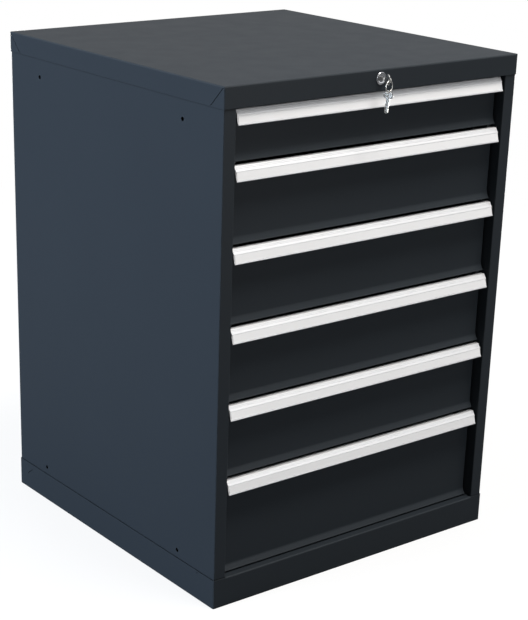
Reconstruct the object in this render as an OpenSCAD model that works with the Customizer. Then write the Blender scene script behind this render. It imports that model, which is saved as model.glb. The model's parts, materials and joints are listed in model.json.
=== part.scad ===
// Full-height steel drawer cabinet: six drawers with aluminium handle strips,
// each on a pair of telescopic rails, and one central lock in the lid.
// Millimetres. X runs across the front, Y to the back, Z up.
// The origin is the middle of the underside of the base, between its four floor holes.

/* [Cabinet] */
// Overall width, over the lid and the base
cabinet_w = 717; // [600:1:900]
// Overall depth, over the lid and the base
cabinet_d = 725; // [600:1:850]
// Overall height; the lowest opening takes what the others leave
cabinet_h = 1000; // [900:50:1200]
// Height of the lid's skirt
lid_h = 40; // [38:1:60]
// Height of the base
plinth_h = 60; // [40:1:120]
// Radius of the bends in the lid and the base
bend_r = 3; // [1.8:0.1:3.5]

/* [Drawers] */
// Height of the first opening from the top
slot_1 = 100; // [100:50:250]
// Height of the second opening
slot_2 = 150; // [100:50:250]
// Height of the third opening
slot_3 = 150; // [100:50:250]
// Height of the fourth opening
slot_4 = 150; // [100:50:250]
// Height of the fifth opening
slot_5 = 150; // [100:50:250]
// Space between the drawer boxes and the back of the cabinet
rear_space = 76; // [50:1:200]
// Gap between a drawer front and the post beside it
front_gap = 5; // [3:0.5:8]
// How far the drawer fronts lie behind the lid's front face
front_recess = 22; // [20:0.5:24]
// How far a drawer front's bottom lip comes forward
lip_out = 6.5; // [3:0.5:8]
// Height of the ramp of that lip
lip_h = 13.5; // [8:0.5:20]

/* [Sheet metal] */
// Thickness of the lid and the base
cover_t = 1.5; // [1:0.1:2]
// Thickness of the side and back panels
side_t = 1.2; // [0.8:0.1:1.5]
// Thickness of the drawer fronts
front_t = 1.2; // [0.8:0.1:1.5]
// Thickness of the drawer boxes
box_t = 1; // [0.8:0.1:1.5]
// Width of the post at each side of the opening
post_w = 27; // [24:0.5:29]
// How far the post's inner face runs back
post_d = 30; // [24:0.5:31]

/* [Rails] */
// Height of a rail
rail_h = 42; // [38:1:44]
// Width of a pair of rails, from upright to drawer box
rail_w = 19; // [17:0.5:22]
// Thickness of the rails
rail_t = 1.8; // [1.4:0.1:2.2]
// Running clearance in the rails
rail_gap = 0.25; // [0.15:0.05:0.4]

/* [Handles] */
// Height of the handle's face, from the knee to the nose
handle_face = 17.8; // [14:0.2:20]
// Thickness of the handle's face
handle_t = 2.8; // [2.4:0.1:3.2]
// Depth of the channel for the label strip
label_depth = 1; // [0.6:0.1:1.2]

/* [Lock] */
// Diameter of the lock's bezel
bezel_dia = 23.5; // [22:0.5:28]
// Diameter of the lock's housing
barrel_dia = 18.8; // [18:0.1:20]
// Diameter of the turning plug
plug_dia = 13; // [11:0.1:14]
// Radial running clearance of the plug
plug_gap = 0.05; // [0.02:0.01:0.1]
// Radius of the lock's crank
crank_r = 10; // [8:0.5:11]
// Outside diameter of the key ring
ring_dia = 22; // [18:0.2:30]
// Length of a key's blade
blade_len = 26.5; // [24:0.5:34]

/* [Fixing holes] */
// Diameter of the four holes in each side panel
side_hole_dia = 8; // [5:0.5:10]
// Front to back spacing of the side holes
side_hole_dy = 490; // [400:5:520]
// Height of the lower side holes above the base
side_hole_low = 16; // [10:1:40]
// Depth of the upper side holes below the lid
side_hole_high = 36; // [10:1:60]
// Diameter of the four floor holes in the base
floor_hole_dia = 11; // [8:0.5:14]

/* [Hidden] */
$fn = 48;
slot_6 = cabinet_h - plinth_h - lid_h - slot_1 - slot_2 - slot_3 - slot_4 - slot_5;
slots = [slot_1, slot_2, slot_3, slot_4, slot_5, slot_6];
drawer_count = len(slots);
function total(list, n) = n <= 0 ? 0 : list[n - 1] + total(list, n - 1);
lid_z = cabinet_h - lid_h;
front_y = -cabinet_d / 2;
back_y = cabinet_d / 2;
// Bottom and top of drawer i's opening, counted from the top down
function slot_top(i) = lid_z - total(slots, i);
function slot_low(i) = lid_z - total(slots, i + 1);

eps = 0.01;
fit = 0.3;             // clearance between pieces that slide past each other

// Body
body_front = front_y + cover_t;
body_back = back_y - cover_t;
body_half = cabinet_w / 2 - cover_t;
side_in = body_half - side_t;
open_half = body_half - post_w;
post_flange = 13;
rear_flange = 20;
side_bend = 2;
rim_w = 30;            // width of the base's bottom flange
rim_t = 2;
ledge_d = 32;          // depth of the ledge behind the base's top front edge
pan_t = 1.2;
corner_seam = lid_h - 4;  // run of the mitred lid corner along the side
seam_w = 1.2;
seam_depth = 1;
slit_front = 53;       // from the front to the short slit in the base
slit_low = 6;          // from the base's top edge to the foot of that slit
floor_inset_x = 16;
floor_inset_y = 60;
side_hole_shift = 5;   // side holes' middle, behind the cabinet's middle

// Uprights, which carry the rails
upright_t = 1.5;
upright_w = 40;
upright_front = 36;    // from the cabinet's front to the front pair
upright_rear = 95;     // from the cabinet's back to the rear pair's front edge
upright_y = [front_y + upright_front, back_y - upright_rear];
upright_zone = 32.5;   // from the lid's side to the uprights' inner faces
upright_low = plinth_h - cover_t;
upright_high = lid_z + 0.5;
hook_pitch = 50;
hook_slot_w = 3.6;
hook_w = 3;
hook_h = 10;
hook_drop = 4;

// Drawers
front_half = open_half - front_gap;
front_face = front_y + front_recess;
front_d = 13;
front_back = front_face + front_d;
front_low_gap = 3;
front_bend = 2;
box_y = front_back;
box_len = back_y - rear_space - box_y;
upright_in = cabinet_w / 2 - upright_zone;
box_half = upright_in - rail_w;
box_low_gap = 8;
box_high_gap = 16;
box_rim = 6;
weld_gap = 0.05;       // between sheets that are spot-welded together
rail_low_gap = 12;
cabinet_rail_y = front_y + 40;
cabinet_rail_len = back_y - 49 - cabinet_rail_y;
slide_rail_y = cabinet_rail_y + 1;
slide_rail_len = cabinet_rail_len - 16;
box_rail_y = box_y + 3;
box_rail_len = box_len - 3;

// Handle, measured from the top of the opening and from the front plane
handle_top = 3.5;
band_top = [10.8, -handle_top];
knee = [5.5, -12];
face_lean = 14;        // degrees from upright
band_groove = 0.5;
tongue_low = 7.8;      // underside of the steel tongue that the handle grips
tongue_reach = 10;

// Lock
lock_z = lid_z + 23;
bezel_out = 2.2;
barrel_len = 38;
cam_y = front_y + 49;
cam_t = 3;
bar_t = 3;
transfer_y = cam_y + cam_t + fit;
lock_bar_y = transfer_y + bar_t + fit;
pin_dia = 4;
pin_slack = 0.35;      // takes up the crank's arc in the bar's upright slot
bar_travel = crank_r * sqrt(2);
top_rail_z = upright_high;
top_rail_t = 1.2;
top_rail_d = 64;
rail_flange = 25;      // depth of the flanges behind the back and the lid's skirt
rear_rail_low = 10;    // how far the rear rail reaches below the lid
transfer_low = top_rail_z + top_rail_t + fit;
transfer_h = 26;
lock_bar_x = side_in - 13.8;
lock_bar_half = 8;
lift_pin_z = transfer_low + 6.5;
catch_h = 12;
catch_t = 2;
catch_reach = 14;
lug_h = 12;
lug_reach = 13;        // how far a lug reaches in from the upright
lug_gap = 1.5;
function catch_z(i) = slot_top(i) - box_high_gap - catch_h;
function lug_z(i) = catch_z(i) - lug_gap - lug_h;

// Key and ring
key_out = 9.3;         // blade left showing between the bezel and the bow
bow_t = 2.2;
blade_t = 1.9;
blade_w = 6.6;
lobe_r = 4.9;
lobe_side = 5.2;
lobe_back = 6.2;       // from the shoulder to the side lobes' middles
hole_back = 11.6;      // from the shoulder to the ring's hole
hole_r = 2.3;
ring_wire = 0.9;
ring_turn = 12;
ring_slack = 0.15;
shoulder_y = front_y - bezel_out - key_out;
ring_r = ring_dia / 2 - ring_wire;
ring_top_z = lock_z - hole_r + ring_wire + ring_slack;

paint = [0.20, 0.22, 0.25];
zinc = [0.72, 0.73, 0.74];
chrome = [0.82, 0.83, 0.85];
alu = [0.75, 0.76, 0.77];

PIECES = ["box", "front", "handle", "label", "rails", "slides"];

// ---------------------------------------------------------------- helpers

// What a bend of radius r takes off a square corner at the origin, material in +x +y
module corner_trim(r) {
    difference() {
        translate([-1, -1]) square(r + 1);
        translate([r, r]) circle(r);
    }
}

// The same along Z, X or Y
module trim_z(h, r) {
    translate([0, 0, -1]) linear_extrude(h + 2) corner_trim(r);
}
module trim_x(len, r) {
    rotate([90, 0, 90]) trim_z(len, r);
}
module trim_y(len, r) {
    rotate([90, 0, 0]) mirror([0, 0, 1]) trim_z(len, r);
}

module both_sides() {
    children();
    mirror([1, 0, 0]) children();
}
module both_ends() {
    children();
    mirror([0, 1, 0]) children();
}

// An outline in (y, z) extruded along X, centred
module across(len) {
    translate([-len / 2, 0, 0]) rotate([90, 0, 90]) linear_extrude(len) children();
}
// An outline in (x, z) extruded along +Y from y0
module along(y0, len) {
    translate([0, y0 + len, 0]) rotate([90, 0, 0]) linear_extrude(len) children();
}

// ---------------------------------------------------------------- body

// Pressed lid: a tray turned down, with mitred corners on the side skirts
module lid() {
    color(paint) difference() {
        translate([-cabinet_w / 2, front_y, lid_z]) cube([cabinet_w, cabinet_d, lid_h]);
        translate([-body_half, body_front, lid_z - 1])
            cube([2 * body_half, cabinet_d - 2 * cover_t, lid_h - cover_t + 1]);
        both_sides() both_ends() {
            translate([-cabinet_w / 2, front_y, lid_z]) trim_z(lid_h, bend_r);
            translate([-cabinet_w / 2 - eps, front_y, cabinet_h]) rotate([-45, 0, 0])
                translate([0, 3, -seam_w / 2])
                    cube([seam_depth + eps, corner_seam * sqrt(2), seam_w]);
        }
        both_ends() translate([-cabinet_w / 2, front_y, cabinet_h]) mirror([0, 0, 1])
            trim_x(cabinet_w, bend_r);
        both_sides() translate([-cabinet_w / 2, front_y, cabinet_h]) mirror([0, 0, 1])
            trim_y(cabinet_d, bend_r);
        along(front_y - 1, cover_t + 2) translate([0, lock_z]) circle(d = barrel_dia + 0.2);
    }
}

// Base: a ring with a bottom flange, and a ledge below the opening
module plinth() {
    color(paint) difference() {
        union() {
            difference() {
                translate([-cabinet_w / 2, front_y, 0]) cube([cabinet_w, cabinet_d, plinth_h]);
                translate([-body_half, body_front, rim_t])
                    cube([2 * body_half, cabinet_d - 2 * cover_t, plinth_h]);
                translate([rim_w - cabinet_w / 2, front_y + rim_w, -1])
                    cube([cabinet_w - 2 * rim_w, cabinet_d - 2 * rim_w, rim_t + 2]);
            }
            translate([-open_half, front_y + eps, plinth_h - cover_t])
                cube([2 * open_half, ledge_d, cover_t]);
        }
        both_sides() both_ends()
            translate([-cabinet_w / 2, front_y, 0]) trim_z(plinth_h, bend_r);
        translate([1 - open_half, front_y, plinth_h]) mirror([0, 0, 1])
            trim_x(2 * open_half - 2, bend_r);
        both_sides() both_ends()
            translate([cabinet_w / 2 - floor_inset_x, floor_inset_y - cabinet_d / 2, -1])
                cylinder(d = floor_hole_dia, h = rim_t + 2);
        // Ends of the folded corners, seen as short slits
        both_sides() {
            translate([-cabinet_w / 2 - eps, front_y + slit_front, plinth_h - slit_low])
                cube([seam_depth, 1.2, 4]);
            translate([-cabinet_w / 2 - eps, back_y - 33, plinth_h - 27]) rotate([52, 0, 0])
                cube([seam_depth, 1, 24]);
        }
    }
}

// Plan of the left side panel: front post, side and rear flange in one sheet
module side_plan() {
    difference() {
        union() {
            translate([-body_half, body_front]) square([side_t, body_back - body_front]);
            translate([-body_half, body_front]) square([post_w, side_t]);
            translate([-open_half - side_t, body_front]) square([side_t, post_d]);
            translate([-open_half - post_flange, body_front + post_d - side_t])
                square([post_flange, side_t]);
            translate([-body_half, body_back - side_t]) square([rear_flange, side_t]);
        }
        translate([-body_half, body_front]) corner_trim(side_bend);
        translate([-body_half, body_back]) mirror([0, 1]) corner_trim(side_bend);
        translate([-open_half, body_front]) mirror([1, 0]) corner_trim(side_bend);
    }
}
module side_panel() {
    color(paint) difference() {
        translate([0, 0, rim_t]) linear_extrude(cabinet_h - cover_t - rim_t) side_plan();
        for (y = [-1, 1], z = [plinth_h + side_hole_low, lid_z - side_hole_high])
            translate([-body_half - 1, side_hole_shift + y * side_hole_dy / 2, z])
                rotate([0, 90, 0]) cylinder(d = side_hole_dia, h = side_t + 2);
    }
}
module side_left() {
    side_panel();
}
module side_right() {
    mirror([1, 0, 0]) side_panel();
}

module back_panel() {
    inner_half = side_in - fit;
    color(paint) translate([-inner_half, body_back - 2 * side_t, rim_t])
        cube([2 * inner_half, side_t, cabinet_h - cover_t - rim_t]);
}

// Bottom of the drawer space: a pan lapped under the base's ledge
module floor_pan() {
    half = side_in - fit;
    y1 = body_back - 2 * side_t;
    y0 = body_front;
    skirt = 18;
    z1 = plinth_h - cover_t;
    color(paint) difference() {
        translate([-half, y0, z1 - skirt]) cube([2 * half, y1 - y0, skirt]);
        translate([pan_t - half, y0 + pan_t, z1 - skirt - 1])
            cube([2 * (half - pan_t), y1 - y0 - 2 * pan_t, skirt + 1 - pan_t]);
        // Corners cut away round the posts
        both_sides() translate([open_half - fit, y0 - 1, z1 - skirt - 1])
            cube([half, post_d + 1 + fit, skirt + 2]);
    }
}

// Channel behind the lid's skirt, which holds the lock and guides the transfer bar
module top_rail() {
    t = top_rail_t;
    z1 = cabinet_h - cover_t;
    color(paint) difference() {
        union() {
            translate([-open_half, body_front, top_rail_z]) cube([2 * open_half, t, z1 - top_rail_z]);
            translate([-open_half, body_front, top_rail_z]) cube([2 * open_half, top_rail_d, t]);
            translate([-open_half, body_front, z1 - t]) cube([2 * open_half, rail_flange, t]);
        }
        along(front_y - 1, 10) translate([0, lock_z]) circle(d = barrel_dia + 0.2);
    }
}

module rear_rail() {
    t = top_rail_t;
    y1 = body_back - 2 * side_t;
    z0 = lid_z - rear_rail_low;
    z1 = cabinet_h - cover_t;
    half = side_in - fit;
    color(paint) union() {
        translate([-half, y1 - t, z0]) cube([2 * half, t, z1 - z0]);
        for (z = [z0, z1 - t]) translate([-half, y1 - rail_flange, z]) cube([2 * half, rail_flange, t]);
    }
}

// Left pair of slotted uprights, open towards the side panel
module uprights() {
    h = upright_high - upright_low;
    slot_h = hook_h + hook_drop + 0.5;  // tall enough to lift the hook out
    first = plinth_h + rail_low_gap + rail_h / 2 - hook_h / 2 - 0.3;
    color(zinc) difference() {
        for (y = upright_y) translate([-side_in, y, upright_low]) difference() {
            cube([side_in - upright_in, upright_w, h]);
            translate([-1, upright_t, -1])
                cube([side_in - upright_in - upright_t + 1, upright_w - 2 * upright_t, h + 2]);
        }
        for (y = upright_y, z = [first : hook_pitch : upright_high - slot_h - 4])
            translate([-upright_in - upright_t - 1, y + 10 - (hook_slot_w - hook_w) / 2, z])
                cube([upright_t + 2, hook_slot_w, slot_h]);
    }
}
module uprights_left() {
    uprights();
}
// The right front upright has a window for each lug of the lock bar
module uprights_right() {
    color(zinc) difference() {
        mirror([1, 0, 0]) uprights();
        for (i = [0 : drawer_count - 1])
            translate([upright_in - 1, lock_bar_y - fit, lug_z(i) - 2])
                cube([upright_t + 2, bar_t + 2 * fit, lug_h + bar_travel + 4]);
    }
}

// ---------------------------------------------------------------- rails

// Rail sections in (u, v): u from the upright to the drawer box, v up
module channel_section() {
    half = rail_w / 2 - 0.5;
    lip = 1.4;
    difference() {
        square([half, rail_h]);
        translate([rail_t, rail_t]) square([half - rail_t - lip, rail_h - 2 * rail_t]);
        translate([rail_t, rail_t + lip]) square([half, rail_h - 2 * (rail_t + lip)]);
    }
}
// The middle member is an I, with a ball strip on each of its four flanges
module slide_section() {
    mid = rail_w / 2;
    flange_in = 3;
    low = 5;
    strip = [rail_t + 1.6, rail_w / 2 - 2.3];
    difference() {
        union() {
            translate([mid - 0.9, low]) square([1.8, rail_h - 2 * low]);
            for (v = [low, rail_h - low - 2])
                translate([flange_in, v]) square([rail_w - 2 * flange_in, 2]);
            for (u = [strip[0], rail_w - strip[1]])
                translate([u, rail_t + rail_gap])
                    square([strip[1] - strip[0], rail_h - 2 * (rail_t + rail_gap)]);
        }
        for (u = [0, mid + 0.9])
            translate([u, low + 2]) square([mid - 0.9, rail_h - 2 * (low + 2)]);
    }
}

// Places an outline in (u, v) as the left rail of drawer i
module left_rail(i, y0, len) {
    translate([-upright_in, 0, slot_low(i) + rail_low_gap]) along(y0, len) children();
}

// Cabinet rails of one side, each hung in the uprights by two hooks
module cabinet_rails() {
    hook_v = rail_h / 2 - hook_h / 2;
    color(zinc) for (i = [0 : drawer_count - 1]) {
        left_rail(i, cabinet_rail_y, cabinet_rail_len) channel_section();
        for (y = upright_y) left_rail(i, y + 10, hook_w) union() {
            translate([-upright_t - fit - eps, hook_v]) square([upright_t + fit + 1, hook_h]);
            translate([-upright_t - fit - 2.5, hook_v - hook_drop + 0.8])
                square([2.5, hook_h + hook_drop - 0.8]);
        }
    }
}
module cabinet_rails_left() {
    cabinet_rails();
}
module cabinet_rails_right() {
    mirror([1, 0, 0]) cabinet_rails();
}

module drawer_slides(i) {
    color(zinc) both_sides() left_rail(i, slide_rail_y, slide_rail_len) slide_section();
}

// Drawer rails, and the catch that the lock's lug holds
module drawer_rails(i) {
    color(zinc) union() {
        both_sides() left_rail(i, box_rail_y, box_rail_len)
            translate([rail_w, 0]) mirror([1, 0]) channel_section();
        translate([box_half, lock_bar_y + bar_t + 3.4, catch_z(i)])
            cube([catch_reach, catch_t, catch_h]);
        translate([box_half, lock_bar_y + bar_t + 3.4, catch_z(i)])
            cube([catch_t, 16, catch_h]);
    }
}

// ---------------------------------------------------------------- drawers

// Five welded sheets: floor, two sides with rolled-in rims, front and back
module drawer_box(i) {
    z0 = slot_low(i) + box_low_gap;
    h = slots[i] - box_low_gap - box_high_gap;
    side_in_face = box_half - box_t;
    rim_inner = side_in_face - box_rim;
    inner = side_in_face - weld_gap;
    back = box_len - box_t;
    wall_h = h - box_t - weld_gap;
    color(paint) translate([0, box_y, z0]) {
        translate([-inner, box_t + weld_gap, 0])
            cube([2 * inner, back - box_t - 2 * weld_gap, box_t]);
        both_sides() along(0, box_len) polygon([[side_in_face, 0], [box_half, 0], [box_half, h],
            [rim_inner, h], [rim_inner, h - box_t], [side_in_face, h - box_t]]);
        translate([-inner, 0, 0]) cube([2 * inner, box_t, wall_h]);
        translate([-inner, back, 0]) cube([2 * inner, box_t, wall_h]);
        across(2 * (rim_inner - weld_gap)) polygon([[back, wall_h - 1], [box_len, wall_h - 1],
            [box_len, h], [back - box_rim, h], [back - box_rim, h - box_t], [back, h - box_t]]);
    }
}

// Side view of a drawer front in (y, z): tongue, face, ramped lip and floor
module front_profile(i) {
    z1 = slot_top(i) - tongue_low + front_t;
    z0 = slot_low(i) + front_low_gap;
    y0 = front_face;
    steps = 10;
    function ramp(s) = lip_out * (1 - cos(90 * s));
    outer = [for (k = [0 : steps]) [y0 - ramp(k / steps), z0 + lip_h * (1 - k / steps)]];
    inner = [for (k = [steps : -1 : 0])
        [y0 - ramp(k / steps) + front_t, z0 + front_t + (lip_h - front_t) * (1 - k / steps)]];
    polygon(concat(
        [[y0 - tongue_reach, z1], [y0 - tongue_reach, z1 - front_t], [y0, z1 - front_t]],
        outer,
        [[front_back, z0], [front_back, z0 + front_t]],
        inner,
        [[y0 + front_t, z1 - front_t], [front_back, z1 - front_t], [front_back, z1]]
    ));
}
module drawer_front(i) {
    z1 = slot_top(i) - tongue_low + front_t;
    z0 = slot_low(i) + front_low_gap;
    back_flange = front_half - box_half + 8;
    color(paint) difference() {
        union() {
            across(2 * front_half) front_profile(i);
            both_sides() translate([-front_half, front_face + eps, z0]) {
                cube([front_t, front_d - eps, z1 - z0]);
                translate([0, front_d - front_t - eps, 0]) cube([back_flange, front_t, z1 - z0]);
            }
        }
        both_sides() translate([-front_half, front_face, z0 + lip_h])
            linear_extrude(z1 - front_t - z0 - lip_h) corner_trim(front_bend);
    }
}

// Handle section, extruded aluminium: ribbed band, label channel, nose and grip
face_dir = [-sin(face_lean), -cos(face_lean)];
face_out = [-cos(face_lean), sin(face_lean)];
function on_face(s, d) = knee + s * face_dir + d * face_out;
band_len = norm(knee - band_top);
band_dir = (knee - band_top) / band_len;
band_out = [band_dir[1], -band_dir[0]];
function on_band(s, d) = band_top + s * band_dir + d * band_out;
label_from = 1.5;
label_to = handle_face - 1.8;
label_end = 1.5;       // from the label's end to the handle's end
module handle_profile() {
    ribs = [2.4, 5.2];
    groove = 1.2;
    steel_top = tongue_low - front_t;
    tongue_y = front_recess - tongue_reach - 0.3;
    web_y = front_recess - 0.2;
    polygon(concat(
        [band_top],
        [for (s = ribs) each [on_band(s, 0), on_band(s, -band_groove),
            on_band(s + groove, -band_groove), on_band(s + groove, 0)]],
        [knee, on_face(label_from, 0), on_face(label_from, -label_depth),
            on_face(label_to, -label_depth), on_face(label_to, 0)],
        // Rounded nose
        [for (a = [0 : 15 : 180]) on_face(handle_face, -handle_t / 2)
            + handle_t / 2 * (cos(a) * face_out + sin(a) * face_dir)],
        [on_face(0.5, -handle_t)],
        [[web_y, -tongue_low - 2], [web_y, -tongue_low - 0.2], [tongue_y, -tongue_low - 0.2]],
        [[tongue_y, -steel_top + 0.2], [web_y, -steel_top + 0.2], [web_y, -handle_top]]
    ));
}
module drawer_handle(i) {
    color(alu) translate([0, front_y, slot_top(i)]) across(2 * front_half) handle_profile();
}
module drawer_label(i) {
    slack = 0.1;
    strip_t = label_depth - 0.15;
    color("white") translate([0, front_y, slot_top(i)]) across(2 * (front_half - label_end))
        polygon([
            on_face(label_from + slack, -label_depth),
            on_face(label_from + slack, strip_t - label_depth),
            on_face(label_to - slack, strip_t - label_depth),
            on_face(label_to - slack, -label_depth)
        ]);
}

// ---------------------------------------------------------------- lock

// Round pieces of the lock lie along Y on its axis
module lock_axis(y0) {
    translate([0, y0, lock_z]) rotate([-90, 0, 0]) children();
}

module lock_body() {
    edge = 0.8;
    color(chrome) difference() {
        union() {
            lock_axis(front_y - bezel_out) {
                cylinder(d1 = bezel_dia - 2 * edge, d2 = bezel_dia, h = edge);
                translate([0, 0, edge]) cylinder(d = bezel_dia, h = bezel_out - edge);
            }
            lock_axis(front_y - eps) cylinder(d = barrel_dia, h = barrel_len);
        }
        lock_axis(front_y - bezel_out - 1)
            cylinder(r = plug_dia / 2 + plug_gap, h = barrel_len + bezel_out + 2);
        lock_axis(front_y - bezel_out - eps)
            cylinder(d1 = plug_dia + 4, d2 = plug_dia, h = 1);
    }
}
module lock_nut() {
    color(zinc) difference() {
        lock_axis(body_front + top_rail_t) cylinder(d = 27, h = 4, $fn = 6);
        lock_axis(body_front) cylinder(d = barrel_dia + 0.2, h = 10);
    }
}
module lock_plug() {
    tail = 6;
    tail_y = front_y + barrel_len + 1;
    color(chrome) difference() {
        union() {
            lock_axis(front_y - bezel_out + 0.8)
                cylinder(d = plug_dia, h = barrel_len + bezel_out + 0.2);
            translate([-tail / 2, tail_y - 1, lock_z - tail / 2])
                cube([tail, cam_y + cam_t - tail_y + 1, tail]);
        }
        translate([-blade_t / 2 - 0.2, front_y - bezel_out - 1, lock_z - blade_w / 2 - 0.2])
            cube([blade_t + 0.4, blade_len - key_out + 3, blade_w + 0.4]);
    }
}
// Crank plate; its pin starts low on the right and ends low on the left
module lock_cam() {
    slot = 6.2;
    color(zinc) translate([0, 0, lock_z]) rotate([0, -45, 0]) difference() {
        union() {
            along(cam_y, cam_t) union() {
                circle(7);
                translate([-4, -crank_r]) square([8, crank_r]);
                translate([0, -crank_r]) circle(4);
            }
            along(cam_y + cam_t - eps, bar_t + fit) translate([0, -crank_r]) circle(d = pin_dia);
        }
        rotate([0, 45, 0]) translate([-slot / 2, cam_y - 1, -slot / 2]) cube([slot, cam_t + 2, slot]);
    }
}

// Bar behind the top rail: an upright slot for the crank, a slanting one for the lock bar
module transfer_bar() {
    x0 = -18;
    x1 = side_in - fit;
    crank_x = crank_r * sin(45);
    slot_r = pin_dia / 2 + pin_slack;
    // Middle of the crank pin's path, which falls by its arc
    slot_z = lock_z - crank_r * (1 + cos(45)) / 2;
    slot_h = crank_r * (1 - cos(45)) / 2 + 0.5;
    waist = 14;
    ramp_room = 34;    // from the waist's end to the lock bar, for the slanting slot
    color(zinc) difference() {
        along(transfer_y, bar_t) difference() {
            translate([x0, transfer_low]) square([x1 - x0, transfer_h]);
            // Lower between its two ends
            translate([crank_x + 22, transfer_low + waist])
                square([lock_bar_x - crank_x - 22 - ramp_room, transfer_h]);
        }
        along(transfer_y - 1, bar_t + 2) union() {
            translate([crank_x - slot_r, slot_z - slot_h]) square([2 * slot_r, 2 * slot_h]);
            for (s = [-1, 1]) translate([crank_x, slot_z + s * slot_h]) circle(slot_r);
            // Slanting slot: the pin climbs as the bar moves left
            translate([lock_bar_x - 6, lift_pin_z]) rotate(45)
                translate([0, -slot_r]) square([bar_travel * sqrt(2), 2 * slot_r]);
            for (s = [0, 1])
                translate([lock_bar_x - 6 + s * bar_travel, lift_pin_z + s * bar_travel])
                    circle(slot_r);
        }
    }
}

// Upright flat bar inside the right front upright
module lock_bar() {
    low = upright_low + 12;
    high = lift_pin_z + 5;
    color(zinc) union() {
        along(lock_bar_y, bar_t)
            translate([lock_bar_x - lock_bar_half, low]) square([2 * lock_bar_half, high - low]);
        along(transfer_y, bar_t + fit + eps)
            translate([lock_bar_x - 6, lift_pin_z]) circle(d = pin_dia);
    }
}
// One lug for each drawer, welded to the bar's edge
module lock_lugs() {
    x0 = upright_in - lug_reach;
    color(zinc) for (i = [0 : drawer_count - 1])
        along(lock_bar_y, bar_t) translate([x0, lug_z(i)])
            polygon([[0, 3], [3, 0], [lock_bar_x - lock_bar_half - x0, 0],
                [lock_bar_x - lock_bar_half - x0, lug_h], [0, lug_h]]);
}

// ---------------------------------------------------------------- key

// Key in (s, w): the shoulder is at s = 0, the blade runs to +s, the bow to -s
module bow_outline() {
    difference() {
        union() {
            for (w = [-lobe_side, lobe_side]) translate([-lobe_back, w]) circle(lobe_r);
            translate([-hole_back + 0.8, 0]) circle(lobe_r);
            translate([-9, -4]) square([9, 8]);
        }
        translate([-hole_back, 0]) circle(hole_r);
    }
}
module blade_outline() {
    first_cut = 8;
    depths = [1.6, 0.9, 2, 1.2];
    pitch = (blade_len - first_cut - 4) / len(depths);
    difference() {
        union() {
            translate([-2, -blade_w / 2]) square([blade_len - 1, blade_w]);
            translate([blade_len - 3, 0]) circle(3);
        }
        for (k = [0 : len(depths) - 1])
            translate([first_cut + k * pitch, blade_w / 2 + 0.8]) rotate(45)
                square(depths[k] * sqrt(2), center = true);
    }
}
module key() {
    color(chrome) translate([0, shoulder_y, lock_z]) rotate([90, 0, 90]) {
        translate([0, 0, -bow_t / 2]) linear_extrude(bow_t) bow_outline();
        translate([0, 0, -blade_t / 2]) linear_extrude(blade_t) blade_outline();
    }
}
module key_ring() {
    color(chrome) translate([0, shoulder_y - hole_back, ring_top_z - ring_r])
        rotate([0, 0, ring_turn]) rotate([90, 0, 0])
            rotate_extrude() translate([ring_r, 0]) circle(ring_wire, $fn = 24);
}

// ---------------------------------------------------------------- nodes

side_left();
side_right();
back_panel();
lid();
plinth();
floor_pan();
top_rail();
rear_rail();
uprights_left();
uprights_right();
cabinet_rails_left();
cabinet_rails_right();
lock_body();
lock_nut();
lock_plug();
lock_cam();
key();
transfer_bar();
lock_bar();
lock_lugs();
key_ring();
for (i = [0 : drawer_count - 1]) {
    name = str("drawer_", i + 1, "_");
    drawer_box(i);
    drawer_front(i);
    drawer_handle(i);
    drawer_label(i);
    drawer_rails(i);
    drawer_slides(i);
}
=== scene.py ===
import json
import math

import bpy
import numpy as np
from mathutils import Matrix, Vector


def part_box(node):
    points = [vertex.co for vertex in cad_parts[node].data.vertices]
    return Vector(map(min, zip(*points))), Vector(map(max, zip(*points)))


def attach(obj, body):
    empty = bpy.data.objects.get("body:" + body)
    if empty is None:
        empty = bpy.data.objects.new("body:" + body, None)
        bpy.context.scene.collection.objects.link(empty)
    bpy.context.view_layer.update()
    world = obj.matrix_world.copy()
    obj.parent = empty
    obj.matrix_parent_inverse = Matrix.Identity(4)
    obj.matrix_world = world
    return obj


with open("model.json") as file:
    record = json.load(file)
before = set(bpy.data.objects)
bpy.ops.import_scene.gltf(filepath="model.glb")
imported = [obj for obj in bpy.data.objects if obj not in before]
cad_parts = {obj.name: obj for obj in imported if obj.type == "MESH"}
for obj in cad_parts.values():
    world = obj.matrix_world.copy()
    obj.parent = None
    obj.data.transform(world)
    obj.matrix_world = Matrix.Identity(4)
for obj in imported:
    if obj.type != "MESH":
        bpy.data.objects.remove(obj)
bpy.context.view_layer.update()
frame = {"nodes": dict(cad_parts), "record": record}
print("frame loaded:", len(frame["nodes"]), "nodes")


def toLinear(hexText):
    # sRGB hex to linear RGBA
    values = [int(hexText[i:i + 2], 16) / 255 for i in (1, 3, 5)]
    return [v / 12.92 if v <= 0.04045 else ((v + 0.055) / 1.055) ** 2.4 for v in values] + [1.0]


def addNode(tree, kind, settings=None, links=None):
    # settings: a socket's name or number, or the node's own property, to its value;
    # links: input socket to the output socket that feeds it
    node = tree.nodes.new(kind)
    for key, value in (settings or {}).items():
        if isinstance(key, int) or key in node.inputs:
            node.inputs[key].default_value = value
        else:
            setattr(node, key, value)
    for key, source in (links or {}).items():
        tree.links.new(source, node.inputs[key])
    return node


def newMaterial(name):
    material = bpy.data.materials.new(name)
    material.use_nodes = True
    tree = material.node_tree
    tree.nodes.clear()
    return material, tree


def finishMaterial(tree, shader):
    addNode(tree, "ShaderNodeOutputMaterial", None, {"Surface": shader.outputs[0]})


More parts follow.
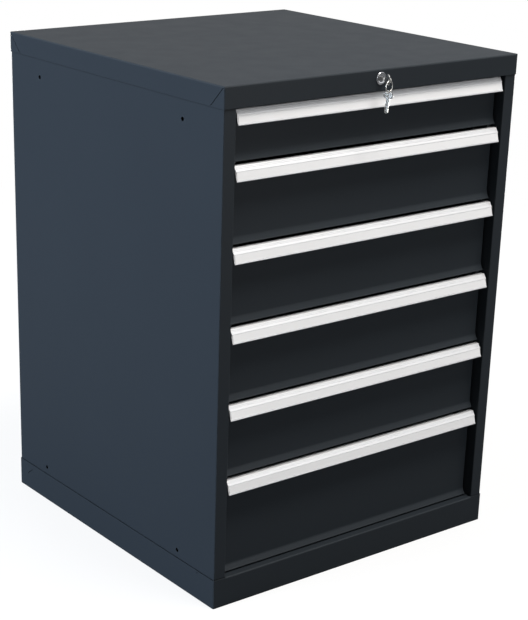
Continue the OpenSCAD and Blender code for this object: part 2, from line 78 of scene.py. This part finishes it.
def spreadNoise(tree, sizeMm, detail, stretch=(1, 1, 1)):
    # noise whose lumps are sizeMm across, longer along an axis where stretch is above 1
    place = addNode(tree, "ShaderNodeTexCoord")
    scaled = addNode(tree, "ShaderNodeMapping",
                     {"Scale": [1000 / (sizeMm * s) for s in stretch]},
                     {"Vector": place.outputs["Object"]})
    return addNode(tree, "ShaderNodeTexNoise", {"Scale": 1.0, "Detail": detail},
                   {"Vector": scaled.outputs[0]}).outputs["Fac"]


# The camera, solved from the cabinet's corners in the photograph
cameraFit = {
    "place": (-2.0114, -2.5426, 1.4874),   # metres, from the middle of the base
    "heading": 37.306,                     # degrees from +Y towards +X
    "dip": 20.743,
    "roll": 1.287,
    "focal": 1610.5,                       # pixels
    "centre": (221.4, 389.4),              # the optical axis in the picture, pixels
    "picture": (528, 620),
    "sensorMm": 36,
    "seesTo": 60,                          # metres
}


def buildCamera(fit):
    heading, dip, roll = (math.radians(fit[k]) for k in ("heading", "dip", "roll"))
    ahead = Vector((math.sin(heading) * math.cos(dip),
                    math.cos(heading) * math.cos(dip),
                    -math.sin(dip)))
    right = Vector((math.cos(heading), -math.sin(heading), 0))
    up = right.cross(ahead)
    across = math.cos(roll) * right + math.sin(roll) * up
    upright = math.cos(roll) * up - math.sin(roll) * right
    wide, tall = fit["picture"]
    data = bpy.data.cameras.new("studioCamera")
    data.sensor_width = fit["sensorMm"]
    data.lens = fit["focal"] * data.sensor_width / tall
    data.shift_x = (wide / 2 - fit["centre"][0]) / tall
    data.shift_y = (fit["centre"][1] - tall / 2) / tall
    data.clip_end = fit["seesTo"]
    camera = bpy.data.objects.new("studioCamera", data)
    bpy.context.scene.collection.objects.link(camera)
    turn = Matrix((across, upright, -ahead)).transposed().to_4x4()
    camera.matrix_world = Matrix.Translation(fit["place"]) @ turn
    bpy.context.scene.camera = camera


buildCamera(cameraFit)
print("camera set")


studio = {
    "white": "#ffffff",
    "ambient": 0.07,                    # what matt surfaces get from the room
    # the room as a gloss shows it: a white wall behind the photographer, a darker hall elsewhere
    "wallTowards": (0.5, -0.84, 0.22),
    "wallEdge": (0.2, 0.75),            # cosine to that direction: where the wall starts, is full
    "hall": 0.42,
    "wall": 0.95,
    "floorSide": 30.0,
    "floorDrop": 0.0005,                # the paper lies this far below the base
    "floorColour": "#686868",           # what it throws back onto the cabinet
    "floorRough": 0.6,
    "floorInGloss": 0.07,               # how much of the white floor a gloss shows
    "shadowPaper": "#f4f4f4",
    "shadowShare": 0.15,                # how strongly the shadow shows beside the cabinet
    "shadowReach": (1.1, 3.0),          # metres from the middle: starts to fade, has gone
    "lights": {
        # name: (place, aims at, size, watts, colour)
        "overheadSoftbox": ((0.65, -1.5, 4.7), (0, -0.2, 0.6), (2.0, 1.2), 218, "#fffbf6"),
        "frontSoftbox": ((0.9, -3.2, 0.7), (0, -0.3, 0.35), (1.2, 0.9), 18, "#ffffff"),
        "leftSoftbox": ((-4.2, 0.75, 1.9), (-0.36, 0.15, 0.5), (2.3, 2.0), 345, "#dcecff"),
        "rightSoftbox": ((2.7, 0.35, 0.3), (0.36, 0.0, 0.45), (1.6, 0.5), 46, "#ffffff"),
        "backSoftbox": ((0.9, 4.2, 0.55), (0.2, 0.36, 0.5), (2.0, 0.8), 110, "#ffffff"),
    },
}


def buildWorld(look):
    # matt surfaces get the dim room, gloss shows the hall and its wall, the camera sees white
    world = bpy.data.worlds.new("studioRoom")
    bpy.context.scene.world = world
    world.use_nodes = True
    tree = world.node_tree
    tree.nodes.clear()
    white = toLinear(look["white"])
    rays = addNode(tree, "ShaderNodeLightPath").outputs
    place = addNode(tree, "ShaderNodeTexCoord")
    facing = addNode(tree, "ShaderNodeVectorMath",
                     {"operation": "DOT_PRODUCT", 1: Vector(look["wallTowards"]).normalized()},
                     {0: place.outputs["Generated"]})
    wallStart, wallFull = look["wallEdge"]
    bright = addNode(tree, "ShaderNodeMapRange",
                     {"interpolation_type": "SMOOTHSTEP",
                      "From Min": wallStart, "From Max": wallFull,
                      "To Min": look["hall"], "To Max": look["wall"]},
                     {"Value": facing.outputs["Value"]})
    dimRoom = addNode(tree, "ShaderNodeBackground", {"Color": white, "Strength": look["ambient"]})
    glossRoom = addNode(tree, "ShaderNodeBackground", {"Color": white},
                        {"Strength": bright.outputs["Result"]})
    seenRoom = addNode(tree, "ShaderNodeBackground", {"Color": white, "Strength": 1.0})
    glossShare = addNode(tree, "ShaderNodeMath", {"operation": "ADD"},
                         {0: rays["Is Glossy Ray"], 1: rays["Is Transmission Ray"]})
    lit = addNode(tree, "ShaderNodeMixShader", None,
                  {0: glossShare.outputs[0], 1: dimRoom.outputs[0], 2: glossRoom.outputs[0]})
    shown = addNode(tree, "ShaderNodeMixShader", None,
                    {0: rays["Is Camera Ray"], 1: lit.outputs[0], 2: seenRoom.outputs[0]})
    addNode(tree, "ShaderNodeOutputWorld", None, {"Surface": shown.outputs[0]})


def floorPaper(look):
    # Seamless studio paper, matt: it shows white, and darker only where the object shades it
    material, tree = newMaterial("seamlessPaper")
    paper = addNode(tree, "ShaderNodeBsdfDiffuse",
                    {"Color": toLinear(look["floorColour"]), "Roughness": look["floorRough"]})
    place = addNode(tree, "ShaderNodeTexCoord")
    reach = addNode(tree, "ShaderNodeVectorMath", {"operation": "LENGTH"},
                    {0: place.outputs["Object"]})
    fadeStart, fadeEnd = look["shadowReach"]
    fade = addNode(tree, "ShaderNodeMapRange",
                   {"interpolation_type": "SMOOTHSTEP",
                    "From Min": fadeStart, "From Max": fadeEnd,
                    "To Min": look["shadowShare"], "To Max": 0.0},
                   {"Value": reach.outputs["Value"]})
    shaded = addNode(tree, "ShaderNodeBsdfDiffuse", {"Color": toLinear(look["shadowPaper"])})
    white = addNode(tree, "ShaderNodeEmission",
                    {"Color": toLinear(look["white"]), "Strength": 1.0})
    shown = addNode(tree, "ShaderNodeMixShader", None,
                    {0: fade.outputs["Result"], 1: white.outputs[0], 2: shaded.outputs[0]})
    rays = addNode(tree, "ShaderNodeLightPath").outputs
    seen = addNode(tree, "ShaderNodeMath", {"operation": "MULTIPLY_ADD", 1: look["floorInGloss"]},
                   {0: rays["Is Glossy Ray"], 2: rays["Is Camera Ray"]})
    share = addNode(tree, "ShaderNodeMath", {"operation": "ADD"},
                    {0: seen.outputs[0], 1: rays["Is Transmission Ray"]})
    finishMaterial(tree, addNode(tree, "ShaderNodeMixShader", None,
                                 {0: share.outputs[0], 1: paper.outputs[0], 2: shown.outputs[0]}))
    return material


def buildFloor(look):
    # a flat square around the origin
    half, low = look["floorSide"] / 2, -look["floorDrop"]
    corners = [(-half, -half, low), (half, -half, low), (half, half, low), (-half, half, low)]
    mesh = bpy.data.meshes.new("studioFloor")
    mesh.from_pydata(corners, [], [(0, 1, 2, 3)])
    mesh.materials.append(floorPaper(look))
    floor = bpy.data.objects.new("studioFloor", mesh)
    bpy.context.scene.collection.objects.link(floor)


def buildLights(look):
    for name, (place, aim, size, watts, colour) in look["lights"].items():
        data = bpy.data.lights.new(name, "AREA")
        data.shape = "RECTANGLE"
        data.size, data.size_y = size
        data.energy = watts
        data.color = toLinear(colour)[:3]
        lamp = bpy.data.objects.new(name, data)
        bpy.context.scene.collection.objects.link(lamp)
        lamp.location = place
        lamp.rotation_euler = (Vector(aim) - Vector(place)).to_track_quat("-Z", "Y").to_euler()
        lamp.visible_camera = False


bpy.context.scene.view_settings.view_transform = "Standard"
buildWorld(studio)
buildFloor(studio)
buildLights(studio)
print("studio built")


noiseSpan = {"From Min": 0.3, "From Max": 0.7}   # where nearly all of a noise's values lie
bevelSamples = 4

coatLook = {
    # lighter grey over folds and sloped lips: partly worn paint, partly painted highlight
    "wornAndHighlight": "#34393d",
    "paintedShade": "#040506",                  # painted shade: the near-black that gaps, seams and corners are darkened towards
    "paintedShadeReachMm": 4.0,
    "paintedShadeSamples": 8,
    "paintedShadeOpen": (0.9, 0.4),             # open share of the surroundings: sheet, deep gap
    "bendMm": 1.6,
    "foldTurn": (0.985, 0.75),          # largest part of the normal: flat sheet, full fold
    "foldWearAndHighlight": 0.55,
    "blotchMm": 260.0, "blotchDetail": 3,
    "peelMm": 7.0, "peelDetail": 1, "peelDepthMm": 0.05, "peelStrength": 0.6,
    "grainMm": 1.4, "grainDetail": 2, "grainDepthMm": 0.06, "grainStrength": 0.5,
    "patchMm": 45, "patchDetail": 4, "patchRough": 0.02,
    "ior": 1.5,
    "specular": 0.1,                    # well below the usual 0.5, to keep the fronts dark
}
bodyCoat = {"shades": ("#2a2f34", "#282d32"), "rough": 0.42}
# painted shade: the body's powder coat written darker for the drawers, to keep them as dark as
# the shaded fronts
drawerCoatInPaintedShade = {"shades": ("#1e2226", "#1c2024"), "rough": 0.4}


def foldWearAndHighlightMask(tree, normal, look):
    # 0 on the flat sides of folded sheet, rising to 1 where the surface turns off all three axes;
    # the lightening it drives is partly worn paint, partly painted highlight on bends and lips
    size = addNode(tree, "ShaderNodeVectorMath", {"operation": "ABSOLUTE"}, {0: normal})
    axes = addNode(tree, "ShaderNodeSeparateXYZ", None, {0: size.outputs[0]})
    largest = axes.outputs["X"]
    for axis in "YZ":
        largest = addNode(tree, "ShaderNodeMath", {"operation": "MAXIMUM"},
                          {0: largest, 1: axes.outputs[axis]}).outputs[0]
    flat, folded = look["foldTurn"]
    return addNode(tree, "ShaderNodeMapRange",
                   {"From Min": flat, "From Max": folded,
                    "To Min": 0.0, "To Max": look["foldWearAndHighlight"]},
                   {"Value": largest}).outputs["Result"]


def paintedShadeMask(tree, look):
    # painted shade mask: 1 deep in a gap, seam or corner that hides the room, 0 on open sheet
    around = addNode(tree, "ShaderNodeAmbientOcclusion",
                     {"samples": look["paintedShadeSamples"], "Distance": look["paintedShadeReachMm"] / 1000})
    sheet, gap = look["paintedShadeOpen"]
    return addNode(tree, "ShaderNodeMapRange",
                   {"From Min": sheet, "From Max": gap, "To Min": 0.0, "To Max": 1.0},
                   {"Value": around.outputs["AO"]}).outputs["Result"]


def powderCoat(name, coat, look):
    # Polyester powder coat, sprayed and baked: an even dark grey with a fine pebbled skin and
    # satin gloss, lighter over folds and lips (partly worn thin, partly painted highlight),
    # painted shade in gaps
    material, tree = newMaterial(name)
    first, second = coat["shades"]
    bend = addNode(tree, "ShaderNodeBevel",
                   {"samples": bevelSamples, "Radius": look["bendMm"] / 1000}).outputs["Normal"]
    blotches = spreadNoise(tree, look["blotchMm"], look["blotchDetail"])
    colour = addNode(tree, "ShaderNodeMix",
                     {"data_type": "RGBA", 6: toLinear(first), 7: toLinear(second)},
                     {0: blotches})
    # partly worn paint, partly painted highlight: bends and sloped lips drawn lighter
    wornAndLit = addNode(tree, "ShaderNodeMix", {"data_type": "RGBA", 7: toLinear(look["wornAndHighlight"])},
                     {0: foldWearAndHighlightMask(tree, bend, look), 6: colour.outputs[2]})
    # painted shade: the colour goes near-black where the occlusion mask finds nearby surfaces
    shaded = addNode(tree, "ShaderNodeMix", {"data_type": "RGBA", 7: toLinear(look["paintedShade"])},
                     {0: paintedShadeMask(tree, look), 6: wornAndLit.outputs[2]})
    peel = addNode(tree, "ShaderNodeBump",
                   {"Strength": look["peelStrength"], "Distance": look["peelDepthMm"] / 1000},
                   {"Height": spreadNoise(tree, look["peelMm"], look["peelDetail"]),
                    "Normal": bend})
    # real grains are 0.3 mm; drawn coarser so that they show
    grain = addNode(tree, "ShaderNodeBump",
                    {"Strength": look["grainStrength"], "Distance": look["grainDepthMm"] / 1000},
                    {"Height": spreadNoise(tree, look["grainMm"], look["grainDetail"]),
                     "Normal": peel.outputs["Normal"]})
    roughness = addNode(tree, "ShaderNodeMapRange",
                        {**noiseSpan, "To Min": coat["rough"] - look["patchRough"],
                         "To Max": coat["rough"] + look["patchRough"]},
                        {"Value": spreadNoise(tree, look["patchMm"], look["patchDetail"])})
    finishMaterial(tree, addNode(
        tree, "ShaderNodeBsdfPrincipled",
        {"IOR": look["ior"], "Specular IOR Level": look["specular"]},
        {"Base Color": shaded.outputs[2], "Roughness": roughness.outputs["Result"],
         "Normal": grain.outputs["Normal"]}))
    return material


zincLook = {
    "shades": ("#cdd2d6", "#bfc4ca"),
    "cloudMm": 40, "cloudDetail": 3,
    "stainMm": 22, "stainDetail": 2,
    "rolled": (1, 3, 1),                # clouds and stains run along the rolled length
    "rough": (0.42 - 0.03, 0.42 + 0.04),
    "edgeMm": 0.4,
}


def zincPlate(look):
    # Bright zinc plating on rolled steel: bluish silver with faint cloudy stains, a satin shine
    material, tree = newMaterial("brightZinc")
    light, dark = look["shades"]
    smooth, dull = look["rough"]
    clouds = spreadNoise(tree, look["cloudMm"], look["cloudDetail"], look["rolled"])
    colour = addNode(tree, "ShaderNodeMix",
                     {"data_type": "RGBA", 6: toLinear(light), 7: toLinear(dark)}, {0: clouds})
    stains = spreadNoise(tree, look["stainMm"], look["stainDetail"], look["rolled"])
    roughness = addNode(tree, "ShaderNodeMapRange",
                        {**noiseSpan, "To Min": smooth, "To Max": dull}, {"Value": stains})
    edges = addNode(tree, "ShaderNodeBevel",
                    {"samples": bevelSamples, "Radius": look["edgeMm"] / 1000})
    finishMaterial(tree, addNode(
        tree, "ShaderNodeBsdfPrincipled", {"Metallic": 1.0},
        {"Base Color": colour.outputs[2], "Roughness": roughness.outputs["Result"],
         "Normal": edges.outputs["Normal"]}))
    return material


aluminiumLook = {
    "shades": ("#d8d9db", "#e0e1e3"),
    "lineMm": 0.7, "lineDetail": 3,
    "drawn": (260, 1, 1),               # die lines run along the handle
    "lineDepthMm": 0.02, "lineStrength": 0.35,
    "rough": (0.5, 0.6),
    "metallic": 0.65,                   # matched, where the real metal would be 1
    "edgeMm": 0.35,
}


def anodisedAluminium(look):
    # Extruded and satin-anodised aluminium: pale grey, with fine die lines along the handle
    material, tree = newMaterial("anodisedAluminium")
    first, second = look["shades"]
    smooth, dull = look["rough"]
    # die lines are a tenth of a millimetre; drawn coarser so that they show
    lines = spreadNoise(tree, look["lineMm"], look["lineDetail"], look["drawn"])
    colour = addNode(tree, "ShaderNodeMix",
                     {"data_type": "RGBA", 6: toLinear(first), 7: toLinear(second)}, {0: lines})
    roughness = addNode(tree, "ShaderNodeMapRange",
                        {**noiseSpan, "To Min": smooth, "To Max": dull}, {"Value": lines})
    edges = addNode(tree, "ShaderNodeBevel",
                    {"samples": bevelSamples, "Radius": look["edgeMm"] / 1000})
    relief = addNode(tree, "ShaderNodeBump",
                     {"Strength": look["lineStrength"], "Distance": look["lineDepthMm"] / 1000},
                     {"Height": lines, "Normal": edges.outputs["Normal"]})
    finishMaterial(tree, addNode(
        tree, "ShaderNodeBsdfPrincipled", {"Metallic": look["metallic"]},
        {"Base Color": colour.outputs[2], "Roughness": roughness.outputs["Result"],
         "Normal": relief.outputs["Normal"]}))
    return material


cardLook = {
    "shades": ("#f5f6f8", "#f0f1f3"),
    "toneMm": 60, "toneDetail": 2,
    "rippleMm": 9, "rippleDetail": 1,
    "along": (9, 1, 1),                 # ripples run along the strip
    "rippleDepthMm": 0.05, "rippleStrength": 0.5,
    "rough": 0.4,
    "coverRough": 0.1,
    "coverIor": 1.6,
}


def labelCard(look):
    # White card behind a clear PVC cover: bright, even, with the cover's faint ripples
    material, tree = newMaterial("whiteCardUnderPvc")
    first, second = look["shades"]
    colour = addNode(tree, "ShaderNodeMix",
                     {"data_type": "RGBA", 6: toLinear(first), 7: toLinear(second)},
                     {0: spreadNoise(tree, look["toneMm"], look["toneDetail"])})
    ripples = spreadNoise(tree, look["rippleMm"], look["rippleDetail"], look["along"])
    cover = addNode(tree, "ShaderNodeBump",
                    {"Strength": look["rippleStrength"],
                     "Distance": look["rippleDepthMm"] / 1000},
                    {"Height": ripples})
    finishMaterial(tree, addNode(
        tree, "ShaderNodeBsdfPrincipled",
        {"Roughness": look["rough"], "Coat Weight": 1.0,
         "Coat Roughness": look["coverRough"], "Coat IOR": look["coverIor"]},
        {"Base Color": colour.outputs[2], "Coat Normal": cover.outputs["Normal"]}))
    return material


plateLook = {
    "toneMm": 12, "toneDetail": 2,
    "markMm": 1.2, "markDetail": 3,
    "upright": (1, 1, 5),               # handling marks run up and down
    "unevenMm": 4, "unevenDetail": 1, "unevenDepthMm": 0.12, "unevenStrength": 0.6,
    "smoother": 0.03, "duller": 0.07,
    "edgeMm": 0.3,
}
chromeLook = {"shades": ("#d8d9dc", "#c9cbd0"), "rough": 0.1}
nickelLook = {"shades": ("#d8d7d3", "#c9c7c2"), "rough": 0.22}


def brightPlate(name, plating, look):
    # Chrome or nickel plating on turned or stamped brass: mirror-like, with hairline handling
    # marks, over a blank that is never quite flat, so that it glints unevenly
    material, tree = newMaterial(name)
    light, dark = plating["shades"]
    colour = addNode(tree, "ShaderNodeMix",
                     {"data_type": "RGBA", 6: toLinear(light), 7: toLinear(dark)},
                     {0: spreadNoise(tree, look["toneMm"], look["toneDetail"])})
    marks = spreadNoise(tree, look["markMm"], look["markDetail"], look["upright"])
    roughness = addNode(tree, "ShaderNodeMapRange",
                        {**noiseSpan, "To Min": plating["rough"] - look["smoother"],
                         "To Max": plating["rough"] + look["duller"]},
                        {"Value": marks})
    edges = addNode(tree, "ShaderNodeBevel",
                    {"samples": bevelSamples, "Radius": look["edgeMm"] / 1000})
    uneven = addNode(tree, "ShaderNodeBump",
                     {"Strength": look["unevenStrength"],
                      "Distance": look["unevenDepthMm"] / 1000},
                     {"Height": spreadNoise(tree, look["unevenMm"], look["unevenDetail"]),
                      "Normal": edges.outputs["Normal"]})
    finishMaterial(tree, addNode(
        tree, "ShaderNodeBsdfPrincipled", {"Metallic": 1.0},
        {"Base Color": colour.outputs[2], "Roughness": roughness.outputs["Result"],
         "Normal": uneven.outputs["Normal"]}))
    return material


finishes = {
    "body_paint": powderCoat("anthracitePowderCoat", bodyCoat, coatLook),
    "drawer_paint": powderCoat("drawerPowderCoatPaintedShade", drawerCoatInPaintedShade, coatLook),
    "zinc_steel": zincPlate(zincLook),
    "aluminium": anodisedAluminium(aluminiumLook),
    "label_strip": labelCard(cardLook),
    "lock_chrome": brightPlate("chromePlate", chromeLook, plateLook),
    "nickel": brightPlate("nickelPlate", nickelLook, plateLook),
}
slotOf = {part["node"]: part["material_slot"] for part in frame["record"]["subparts"]}
for nodeName, cadObject in frame["nodes"].items():
    cadObject.data.materials.clear()
    cadObject.data.materials.append(finishes[slotOf[nodeName]])
print("finishes given to the packed parts")


spareLook = {
    "turnDegrees": 23,                  # about the vertical through its hole
    "leanDegrees": 2,                   # the blade's tip comes forward
    "swayDegrees": 5,                   # and hangs a little to the left
    "holeRadius": 0.0023,
    "wire": 0.0018,                     # thickness of the ring
    "slack": 0.00015,
}


def copyMerged(nodeName, pieceName):
    # a CAD node's triangles as a new mesh with shared corners
    source = frame["nodes"][nodeName].data
    corners = np.empty(len(source.vertices) * 3)
    source.vertices.foreach_get("co", corners)
    unique, back = np.unique(corners.reshape(-1, 3).round(7), axis=0, return_inverse=True)
    faces = [[int(back.reshape(-1)[v]) for v in face.vertices] for face in source.polygons]
    faces = [face for face in faces if len(set(face)) == len(face)]
    mesh = bpy.data.meshes.new(pieceName)
    return mesh, unique, faces


def buildSpareKey(look):
    # The lock's key, turned so that its blade hangs down: along the blade y becomes -z, across
    # the bow z becomes y. Then it sways in its own plane, leans and turns, all about its hole,
    # which is set so that the ring's wire lies under the hole's top edge
    mesh, corners, faces = copyMerged("key", "spareKey")
    ringLow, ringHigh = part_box("key_ring")
    keyLow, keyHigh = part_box("key")
    middle = (np.array(ringLow) + np.array(ringHigh)) / 2
    keyHole = np.array([0, middle[1], (keyLow[2] + keyHigh[2]) / 2])
    hangs = np.array([0, middle[1],
                      ringLow[2] + look["wire"] + look["slack"] - look["holeRadius"]])
    local = corners - keyHole
    hung = np.stack([local[:, 0], local[:, 2], -local[:, 1]], axis=1)
    turn, lean, sway = (math.radians(look[k])
                        for k in ("turnDegrees", "leanDegrees", "swayDegrees"))
    spin = (Matrix.Rotation(turn, 3, "Z") @ Matrix.Rotation(lean, 3, "Y")
            @ Matrix.Rotation(sway, 3, "X"))
    placed = hung @ np.array(spin).T + hangs
    mesh.from_pydata(placed.tolist(), [], faces)
    mesh.materials.append(finishes["nickel"])
    spare = bpy.data.objects.new("spareKey", mesh)
    bpy.context.scene.collection.objects.link(spare)
    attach(spare, "ring")


buildSpareKey(spareLook)
print("spare key hung")
